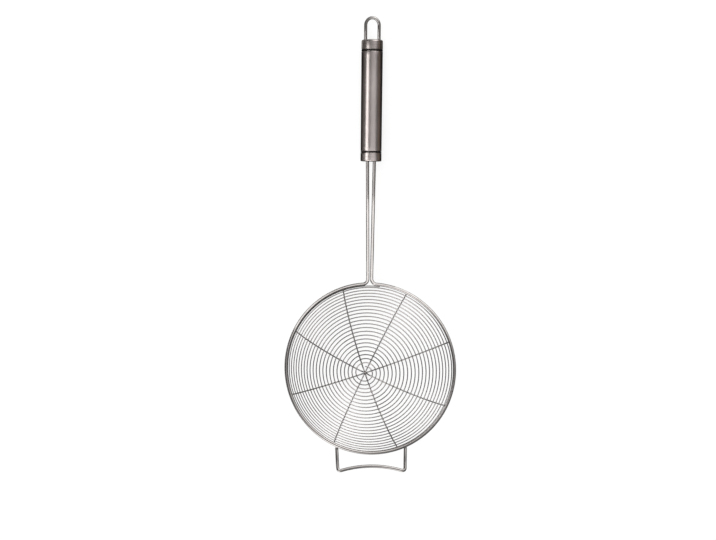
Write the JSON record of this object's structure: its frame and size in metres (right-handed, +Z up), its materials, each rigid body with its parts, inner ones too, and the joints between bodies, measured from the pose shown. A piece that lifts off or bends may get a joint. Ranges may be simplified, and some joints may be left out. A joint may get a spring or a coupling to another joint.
{
  "type": "wire strainer",
  "caption": "Round bowl of spiral wire on crossing rib wires, with a wire rim and neck, a wire pot rest and a tubular steel grip with a hanging loop, for lifting food out of hot liquid.",
  "frame": {"origin": "middle of the part's footprint on the table that it rests on, bowl down, touching with its ribs and with the far edge of the grip", "axes": "+Z up, +Y along the part from the pot rest to the hanging loop, +X to the right seen from the pot rest"},
  "size_m": [0.16, 0.418, 0.0676],
  "materials": {
    "frame_wire": "polished",
    "mesh_wire": "polished",
    "brushed_tube": "brushed along its length",
    "turned_cap": "turned, with fine rings",
    "black_ring": "satin"
  },
  "bodies": {
    "root": {"rim_neck_wire": "frame_wire", "spiral_wire": "mesh_wire", "rib_wire_1": "mesh_wire", "rib_wire_2": "mesh_wire", "rib_wire_3": "mesh_wire", "rib_wire_4": "mesh_wire", "pot_rest_wire": "frame_wire", "lower_cap": "turned_cap", "lower_ring": "black_ring", "grip_tube": "brushed_tube", "upper_ring": "black_ring", "upper_cap": "turned_cap", "hang_loop": "frame_wire"}
  },
  "joints": []
}
